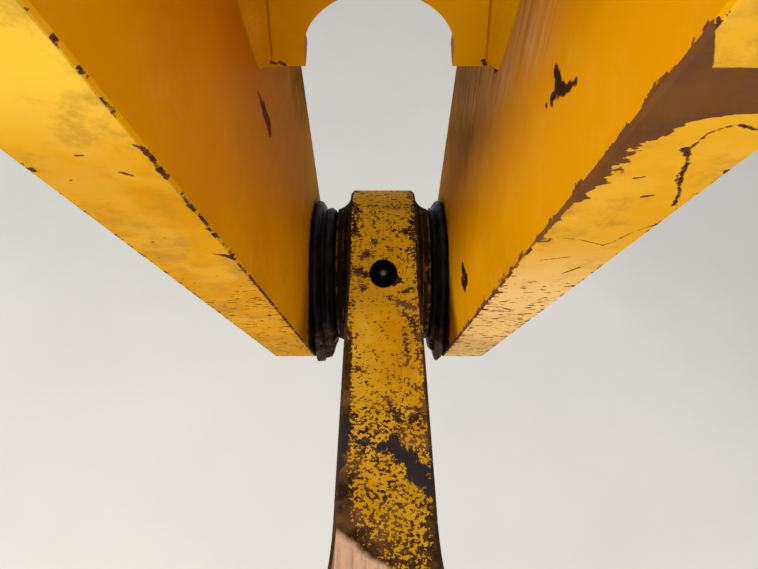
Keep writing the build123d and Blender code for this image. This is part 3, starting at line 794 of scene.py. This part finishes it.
def link_paint(name):
    """Paint on the link, flaked off in specks that grow towards its edges and front."""
    s = Surface(name)
    forward = s.along(LINK_RUN, LINK_PIN)
    lateral = s.less(s.x, LINK_MIDDLE_X)
    beside = s.absolute(lateral)
    raised = s.along(LINK_UP, LINK_PIN)
    mottle = s.noise(40, 4, 0.6)
    colour = s.mix(s.step(mottle, 0.4, 0.7), LINK_YELLOW, LINK_YELLOW_PALE)
    colour = s.mix(s.times(s.step(s.noise(12, 2, 0.5), 0.45, 0.7), 0.5), colour, YELLOW_DEEP)
    # The hollow neck painted brighter: painted light against the shade in the hollow
    neck_light_share = s.times(s.step(forward, -0.01, 0.05), s.step(forward, 0.14, 0.09))
    colour = s.mix(s.times(neck_light_share, 0.6), colour, LINK_YELLOW_NECK_LIT)
    specks = s.noise(330, 4, 0.62)
    patches = s.noise(34, 4, 0.65)
    limit, edge = speck_limit(s, forward, beside, lateral, raised, patches)
    clusters = link_clusters(s)
    relief = s.over(specks, limit)
    chips = s.most(relief, clusters)
    blot_limit = s.add(0.605, s.times(s.step(forward, 0.05, 0.11), 0.050))
    blots = s.over(s.noise(190, 3, 0.55), s.less(blot_limit, s.times(edge, 0.02)))
    chips = s.most(chips, s.times(blots, s.step(raised, 0.045, 0.065)))
    side = s.step(beside, 0.0336, 0.0343)
    shoulder = s.times(s.step(beside, 0.0372, 0.0400), s.step(forward, 0.13, 0.09))
    rim = shoulder_rims(s, beside, shoulder)
    chips = s.most(chips, s.times(side, side_wear(s, forward, lateral, raised)))
    torn, hole = recess_grease(s)
    chips = s.most(chips, torn)
    bare = bare_steel(s)
    chips = s.most(chips, bare)
    rust = s.rust(s.times(bare, 0.92), RUST_SOFT_DARK, RUST_SOFT)
    # Rubbed steel painted pale peach as in sunlight, a painted highlight, streaked by its grain
    grain = s.streaks((300, 22, 22), 0.0, 4, 0.7)
    sunlit = s.mix(s.times(s.step(grain, 0.44, 0.70), 0.45), SUNLIT_STEEL, RUST_SMOOTH)
    sunlit_rub = sunlit_rubbed_steel(s, forward, lateral, raised, patches)
    rust = s.mix(s.times(sunlit_rub, 0.85), rust, sunlit)
    rust = s.mix(s.times(side, 0.65), rust, SIDE_BROWN)
    colour = s.mix(chips, colour, rust)
    greasy_share = s.blend(s.step(lateral, -0.01, 0.01), 0.78, 0.55)
    colour = s.mix(s.times(shoulder, greasy_share), colour, GREASE)
    colour = s.mix(s.times(rim, 0.7), colour, OCHRE)
    colour = s.mix(s.most(hole, s.times(torn, 0.75)), colour, GREASE)
    roughness = s.blend(chips, s.add(0.46, s.times(mottle, 0.12)), 0.78)
    return s.finish(colour, roughness, relief)


def greasy(name, base, shine):
    """Black grease over metal or rubber, thick and thin by turns."""
    s = Surface(name)
    smear = s.noise(45, 4, 0.6)
    grit = s.noise(420, 4, 0.65)
    colour = s.mix(s.step(smear, 0.35, 0.7), GREASE, base)
    colour = s.mix(s.times(s.step(grit, 0.62, 0.75), 0.3), colour, RUST_BROWN)
    ahead = s.add(s.along(CAKED_RUN, LINK_PIN), s.sway(smear, 0.03))
    caked = s.times(s.step(ahead, 0.054, 0.080), s.step(grit, 0.40, 0.56))
    colour = s.mix(caked, colour, CAKED_DIRT)
    s.shade(colour, s.add(shine, s.times(smear, 0.35)))
    s.shader.inputs["Specular IOR Level"].default_value = GREASE_GLOSS
    s.bump(s.add(smear, s.times(grit, 0.2)), 0.0012)
    return s.material


def steel(name, base, roughness, rusty):
    """Machined steel with fine turning marks, and rust in patches."""
    s = Surface(name)
    turning = s.streaks((1400, 30, 30), 0.0, 2, 0.5)
    stain = s.noise(60, 5, 0.62)
    rust = s.step(stain, 1.0 - rusty - 0.06, 1.0 - rusty + 0.06)
    colour = s.mix(s.times(turning, 0.35), base, BARE_STEEL)
    colour = s.mix(rust, colour, s.rust())
    s.shade(colour, s.blend(rust, s.add(roughness, s.times(turning, 0.1)), 0.85))
    s.put(s.shader, "Metallic", s.blend(rust, 0.85, 0.0))
    s.bump(s.add(s.times(turning, 0.3), s.times(rust, s.noise(300, 3, 0.6))), 0.0004)
    return s.material


def greased_nipple(name):
    """Grease over the fitting in the rear eye's recess, its tip wiped bare and painted pale bluish as a highlight.
    """
    s = Surface(name)
    tip = s.step(s.along(RECESS_RUN, LINK_PIN), 0.0902, 0.0908)
    smear = s.noise(700, 3, 0.6)
    colour = s.mix(s.times(tip, s.step(smear, 0.36, 0.5)), GREASE, WIPED_TIP_HIGHLIGHT)
    s.shade(colour, s.add(0.34, s.times(smear, 0.2)))
    s.put(s.shader, "Metallic", s.times(tip, 0.2))
    s.bump(smear, 0.0004)
    return s.material


# Geometry helpers


def new_object(name, data):
    obj = bpy.data.objects.new(name, data)
    bpy.context.scene.collection.objects.link(obj)
    return obj


def mesh_object(name, verts, faces, material, body, slot):
    """A smooth piece that rides on a body of the row."""
    mesh = bpy.data.meshes.new(name)
    mesh.from_pydata([tuple(v) for v in verts], [], faces)
    mesh.validate()
    bm = bmesh.new()
    bm.from_mesh(mesh)
    bmesh.ops.recalc_face_normals(bm, faces=bm.faces)
    bm.to_mesh(mesh)
    bm.free()
    for polygon in mesh.polygons:
        polygon.use_smooth = True
    mesh.materials.append(material)
    obj = new_object(name, mesh)
    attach(obj, body)


def quads(rows, row, closed=True):
    """Faces between rows of points, each a loop; closed joins the last row to the first."""
    faces = []
    for i in range(rows if closed else rows - 1):
        a, b = i * row, ((i + 1) % rows) * row
        for k in range(row):
            n = (k + 1) % row
            faces.append((a + k, a + n, b + n, b + k))
    return faces


# A weld bead: points across it, pitch of its ripples, step along it, length of its tapered ends and
# depth of its root. The others are shares, of the pitch for the lag and else of the bead's own size
BEAD_SECTION = 9
BEAD_PITCH = 0.0052
BEAD_STEP = 0.0013
BEAD_TAPER = 0.012
BEAD_SUNK = 0.0004
BEAD_LAG = 0.7
BEAD_ROUNDNESS = 0.80
BEAD_BULGE = 0.45
BEAD_SWAY = 0.10
BEAD_RIPPLE = 0.018


def bead(station, length, leg, closed=False):
    """A painted fillet weld. station gives (root, first, second) at a share from 0 to 1.

    first and second are the directions from the root along the two surfaces that the bead joins,
    and leg is how far it reaches along each, as a number or as a function of the share.
    """
    count = max(8, int(length / BEAD_STEP))
    rows = count + (0 if closed else 1)
    verts = []
    for i in range(rows):
        share = i / count
        root, first, second = station(share)
        travelled = share * length
        reach = leg(share) if callable(leg) else leg
        sway = noise.noise(Vector((travelled * 55, length * 70, 0.3)))
        sway_back = noise.noise(Vector((travelled * 48, length * 70, 7.3)))
        if not closed:
            end = min(1.0, min(travelled, length - travelled) / BEAD_TAPER)
            reach *= 0.45 + 0.55 * math.sqrt(end * (2 - end))
        for k in range(BEAD_SECTION):
            t = k / (BEAD_SECTION - 1)
            lag = BEAD_PITCH * BEAD_LAG * (1 - (2 * t - 1) ** 2)
            ripple = math.cos(2 * math.pi * (travelled + lag) / BEAD_PITCH)
            angle = t * math.pi / 2
            hold = math.sin(2 * angle)
            swell = 1 + BEAD_SWAY * (sway * (1 - t) + sway_back * t) + BEAD_RIPPLE * ripple * hold
            round_point = (first * math.cos(angle) + second * math.sin(angle)) * BEAD_ROUNDNESS
            flat_point = first * (1 - t) + second * t
            verts.append(root + flat_point.lerp(round_point, BEAD_BULGE * hold) * reach * swell)
        verts.append(root - (first + second) * BEAD_SUNK)
    row = BEAD_SECTION + 1
    faces = quads(rows, row, closed)
    if not closed:
        faces.append(tuple(range(row)))
        faces.append(tuple((rows - 1) * row + k for k in reversed(range(row))))
    return verts, faces


def merge(parts):
    """Several (vertices, faces) as one."""
    verts, faces = [], []
    for part_verts, part_faces in parts:
        start = len(verts)
        verts += part_verts
        faces += [tuple(start + v for v in face) for face in part_faces]
    return verts, faces


def straight_bead(start, end, first, second, leg):
    return bead(lambda share: (start.lerp(end, share), first, second), (end - start).length, leg)


def ring_bead(centre, x, radius, outward, leg):
    """A fillet round a tube or boss that stands on a face square to X; outward is +1 or -1 along X."""

    def station(share):
        angle = share * 2 * math.pi
        radial = Vector((0, math.cos(angle), math.sin(angle)))
        root = Vector((x, centre.y, centre.z)) + radial * radius
        return root, radial, Vector((outward, 0, 0))

    return bead(station, 2 * math.pi * radius, leg, closed=True)


def web_welds():
    """Fillets between web and plates, thick at the hub and thin at the end, and between web and hub."""
    parts = []
    for run, reach, thick, thin in (
        (LOWER_RUN, LOWER_WEB_REACH, 0.019, 0.008),
        (UPPER_RUN, UPPER_WEB_REACH, 0.013, 0.008),
    ):
        normal = Vector((0, -run.z, run.y))
        for face in (-1, 1):
            out = normal * face
            surface = out * WEB_HALF_THICKNESS
            for side in (-1, 1):
                corner = Vector((side * INNER_X, 0, 0)) + surface
                start = corner + run * (HUB_RADIUS + 0.002)
                end = corner + run * (reach - 0.001)

                def leg(share, thick=thick, thin=thin):
                    return thick + (thin - thick) * share**2

                parts.append(straight_bead(start, end, Vector((-side, 0, 0)), out, leg))
            along = math.sqrt(HUB_RADIUS**2 - WEB_HALF_THICKNESS**2)
            middle = surface + run * along
            tip = (run * -WEB_HALF_THICKNESS / HUB_RADIUS + out * along / HUB_RADIUS).normalized()
            reach_x = Vector((INNER_X - 0.003, 0, 0))
            parts.append(straight_bead(middle - reach_x, middle + reach_x, run, tip, 0.009))
    return merge(parts)


def hub_welds():
    """Fillets round the hub, on the plates' outer and inner faces."""
    outer, inner = 0.011, 0.009
    parts = []
    for side in (-1, 1):
        parts.append(ring_bead(PIVOT, side * OUTER_X, HUB_RADIUS, side, outer))
        parts.append(ring_bead(PIVOT, side * INNER_X, HUB_RADIUS, -side, inner))
    return merge(parts)


def boss_welds():
    """Fillets round the rod bosses and the tapped bosses."""
    parts = []
    boss_radius = (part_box("rod_boss_left")[1][1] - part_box("rod_boss_left")[0][1]) / 2
    for side in (-1, 1):
        parts.append(ring_bead(ROD_PIN, side * INNER_X, boss_radius, -side, 0.007))
    for node in ("link_retainer_boss", "pivot_retainer_boss", "rod_retainer_boss"):
        low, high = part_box(node)
        centre = (Vector(low) + Vector(high)) / 2
        parts.append(ring_bead(centre, -OUTER_X, (high[1] - low[1]) / 2, -1, 0.006))
    return merge(parts)


# The grease rings: steps round them, and where dirt is caked on, in degrees from +Y towards +Z
RING_STEPS = 260
CAKED_ANGLE = 208
CAKED_SPREAD = 52
RING_CORE = 0.0600
RING_OVERLAP = 0.0002


def grease_profile(eye_face):
    """The greasy rings between a plate and the link's eye, as (distance from the middle, radius)."""
    near = eye_face + 0.0012
    groove = 0.0620
    span = groove - near
    return (
        (INNER_X - RING_OVERLAP, RING_CORE),
        (INNER_X - RING_OVERLAP, 0.0800),
        (0.0742, 0.0838),
        (0.0728, 0.0862),
        (0.0708, 0.0874),
        (0.0684, 0.0874),
        (0.0662, 0.0860),
        (0.0648, 0.0832),
        (0.0640, 0.0796),
        (0.0632, 0.0768),
        (groove, 0.0764),
        (near + span * 0.80, 0.0784),
        (near + span * 0.62, 0.0792),
        (near + span * 0.42, 0.0788),
        (near + span * 0.22, 0.0764),
        (near + span * 0.06, 0.0728),
        (near, 0.0700),
        (near, RING_CORE),
    )


def grease_ring(side, eye_face, seed):
    """Grease over a collar and its seal, with lumps of caked dirt on the front."""
    profile = grease_profile(eye_face)
    row = len(profile)
    verts = []
    for i in range(RING_STEPS):
        angle = 2 * math.pi * i / RING_STEPS
        around = Vector((math.cos(angle), math.sin(angle), 0))
        away = abs((math.degrees(angle) - CAKED_ANGLE + 180) % 360 - 180)
        caked = max(0.0, 1 - away / CAKED_SPREAD)
        caked = caked * caked * (3 - 2 * caked)
        for k, (x, radius) in enumerate(profile):
            outer = 1.0 if 1 < k < row - 2 else (0.5 if k in (1, row - 2) else 0.0)
            fine = noise.noise(around * 11 + Vector((0, 0, x * 160 + seed)))
            coarse = noise.noise(around * 3.1 + Vector((seed, 0, x * 45)))
            lump = noise.noise(around * 6.5 + Vector((0, seed, x * 70)))
            clod = noise.noise(around * 19 + Vector((x * 210, 0, seed)))
            plate_side = min(1.0, max(0.0, (x - eye_face) / (INNER_X - eye_face)))
            heap = 0.0036 + 0.0130 * max(0.0, lump + 0.25) + 0.0100 * plate_side + 0.0060 * clod
            rise = 0.0006 * fine + 0.0009 * coarse + caked * heap
            size = min(radius + outer * rise, EYE_RADIUS - 0.0008 + 0.007 * caked)
            y = LINK_PIN.y + size * math.cos(angle)
            z = LINK_PIN.z + size * math.sin(angle)
            verts.append((side * x, y, z))
    return verts, quads(RING_STEPS, row)


# The object's own surfaces

plain_yellow = lever_paint("lever_paint")
left_yellow = lever_paint("left_plate_paint", left_marks, left_gouge, plate=True, dust_from=0.075)
right_yellow = lever_paint(
    "right_plate_paint", right_marks, right_scars, right_patch, cut_colour=SCAR_DARK,
    plate=True, worn=MOST_WORN, pale=0.2,
)
# The web's paint holds painted light in its colour, against the shade between the plates
web_yellow = lever_paint("web_paint", web_marks, base=YELLOW_WEB_LIT)
flaked_yellow = link_paint("link_paint")
black_grease = greasy("black_grease", GREASED_METAL, 0.22)
black_rubber = greasy("seal_rubber", GREASED_RUBBER, 0.30)
pin_steel = steel("pin_steel", PIN_METAL, 0.32, 0.40)
bushing_steel = steel("bushing_steel", BUSHING_METAL, 0.30, 0.25)
black_nipple = greased_nipple("greased_nipple")
zinc = steel("zinc", ZINC_METAL, 0.38, 0.30)

SURFACES = (
    (left_yellow, ("plate_left",)),
    (right_yellow, ("plate_right",)),
    (web_yellow, ("lower_web",)),
    (plain_yellow, ("upper_web", "hub_tube", "rod_boss_left", "rod_boss_right", "pin_flag")),
    (plain_yellow, ("link_retainer_boss", "pivot_retainer_boss", "rod_retainer_boss")),
    (flaked_yellow, ("link_bar",)),
    (pin_steel, ("link_pin",)),
    (bushing_steel, ("hub_bushing_left", "hub_bushing_right", "link_bushing_rear", "link_bushing_front")),
    (zinc, ("flag_bolt", "hub_grease_fitting", "link_grease_fitting_front")),
    (black_nipple, ("link_grease_fitting_rear",)),
    (black_grease, ("link_collar_left", "link_collar_right", "link_shim_left")),
    (black_rubber, ("hub_seal_left", "hub_seal_right", "link_seal_left", "link_seal_right")),
    (black_rubber, ("link_seal_ring_left", "link_seal_ring_right")),
)
for material, nodes in SURFACES:
    for node in nodes:
        for slot in frame["nodes"][node].material_slots:
            slot.material = material

mesh_object("web_welds", *web_welds(), web_yellow, "lever", "lever_paint")
mesh_object("hub_welds", *hub_welds(), plain_yellow, "lever", "lever_paint")
mesh_object("boss_welds", *boss_welds(), plain_yellow, "lever", "lever_paint")
for side, name, seed in ((-1, "grease_left", 3.1), (1, "grease_right", 8.4)):
    ring_parts = grease_ring(side, EYE_HALF_WIDTH + side * LINK_MIDDLE_X, seed)
    mesh_object(name, *ring_parts, black_grease, "lever", "greased_steel")


# Camera, floor and light


def make_camera():
    """The photograph's viewpoint."""
    data = bpy.data.cameras.new("camera")
    data.sensor_width = SENSOR_WIDTH
    data.lens = SENSOR_WIDTH * FOCAL_PIXELS / PHOTO_WIDTH
    data.clip_start = NEAREST_SEEN
    camera = new_object("camera", data)
    camera.location = LINK_PIN + CAMERA_FROM_PIN
    camera.rotation_euler = (math.pi / 2 - CAMERA_DIP, 0, 0)
    bpy.context.scene.camera = camera


def make_floor():
    """A plain pale floor, far below the lever, that isn't part of the object."""
    corners = ((-1, -1), (1, -1), (1, 1), (-1, 1))
    z = LINK_PIN.z - FLOOR_BELOW_PIN
    verts = [(x * FLOOR_HALF_SIZE, y * FLOOR_HALF_SIZE, z) for x, y in corners]
    mesh = bpy.data.meshes.new("floor")
    mesh.from_pydata(verts, [], [(0, 1, 2, 3)])
    s = Surface("floor")
    cloud = s.noise(2.5, 4, 0.6)
    s.shade(s.mix(cloud, FLOOR_DARK, FLOOR_PALE), 0.8)
    mesh.materials.append(s.material)
    floor = new_object("floor", mesh)


def area_light(name, place, size, power, colour):
    """A square lamp, its size in metres and its power in watts."""
    data = bpy.data.lights.new(name, "AREA")
    data.size = size
    data.energy = power
    data.color = colour
    light = new_object(name, data)
    light.location = place
    light.rotation_euler = (LIT_MIDDLE - light.location).to_track_quat("-Z", "Y").to_euler()


def make_light():
    """Soft studio light from four sides."""
    world = bpy.data.worlds.new("studio")
    world.use_nodes = True
    background = world.node_tree.nodes["Background"]
    background.inputs["Color"].default_value = (1, 1, 1, 1)
    background.inputs["Strength"].default_value = 0.45
    bpy.context.scene.world = world
    area_light("key", (-2.6, -1.95, 1.3), 1.5, 106, (1.0, 0.98, 0.93))
    area_light("fill", (2.4, -1.6, 0.8), 2.0, 24, (1.0, 0.97, 0.92))
    area_light("front", (0.3, -2.9, 0.9), 1.6, 20, (1.0, 0.98, 0.94))
    area_light("back", (0.0, 2.0, 2.6), 2.0, 16, (1, 1, 1))


make_camera()
make_floor()
make_light()
bpy.context.scene.view_settings.view_transform = "Standard"
